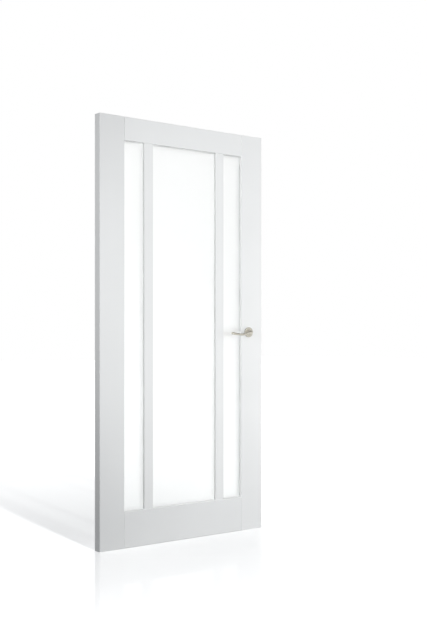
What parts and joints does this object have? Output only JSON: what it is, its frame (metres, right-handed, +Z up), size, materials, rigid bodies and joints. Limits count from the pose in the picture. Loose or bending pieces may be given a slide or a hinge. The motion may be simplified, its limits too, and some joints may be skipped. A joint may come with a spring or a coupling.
{
  "type": "glazed interior door leaf",
  "caption": "Stile-and-rail interior door leaf with tall upright lights of satin glass between glazing bars, with a lever handle on round roses and a latch.",
  "frame": {"origin": "foot of the hinge edge, in mid thickness, on the edge's flat face", "axes": "+X across the leaf from the hinge edge to the lock edge, +Z up from the underside, -Y is the way the front face looks"},
  "size_m": [0.991, 0.134, 2.015],
  "materials": {
    "white_paint": "smooth white sprayed paint on engineered timber, satin",
    "white_bead_paint": "smooth white sprayed paint on timber beads, satin",
    "satin_glass": "satin glass, acid-etched, 6 mm, lets light through and blurs what is behind it",
    "satin_nickel": "warm satin nickel",
    "latch_steel": "nickel-plated steel, satin"
  },
  "bodies": {
    "leaf": {"hinge_stile": "white_paint", "lock_stile": "white_paint", "top_rail": "white_paint", "bottom_rail": "white_paint", "left_bar": "white_paint", "right_bar": "white_paint", "left_pane": "satin_glass", "centre_pane": "satin_glass", "right_pane": "satin_glass", "left_bottom_bead": "white_bead_paint", "left_right_bead": "white_bead_paint", "left_top_bead": "white_bead_paint", "left_left_bead": "white_bead_paint", "centre_bottom_bead": "white_bead_paint", "centre_right_bead": "white_bead_paint", "centre_top_bead": "white_bead_paint", "centre_left_bead": "white_bead_paint", "right_bottom_bead": "white_bead_paint", "right_right_bead": "white_bead_paint", "right_top_bead": "white_bead_paint", "right_left_bead": "white_bead_paint", "front_rose": "satin_nickel", "back_rose": "satin_nickel", "latch_case": "latch_steel", "latch_faceplate": "latch_steel", "latch_bolt": "latch_steel"},
    "handle": {"front_lever": "satin_nickel", "back_lever": "satin_nickel", "spindle": "latch_steel", "latch_hub": "latch_steel"}
  },
  "joints": [
    {"name": "lever_turn", "type": "hinge", "parent": "leaf", "child": "handle", "pos_m": [0.89, 0, 1.01], "axis": [0, -1, 0], "range_deg": [0, 40], "stiffness_Nm_per_rad": 1.2, "springref_deg": -28.65}
  ]
}
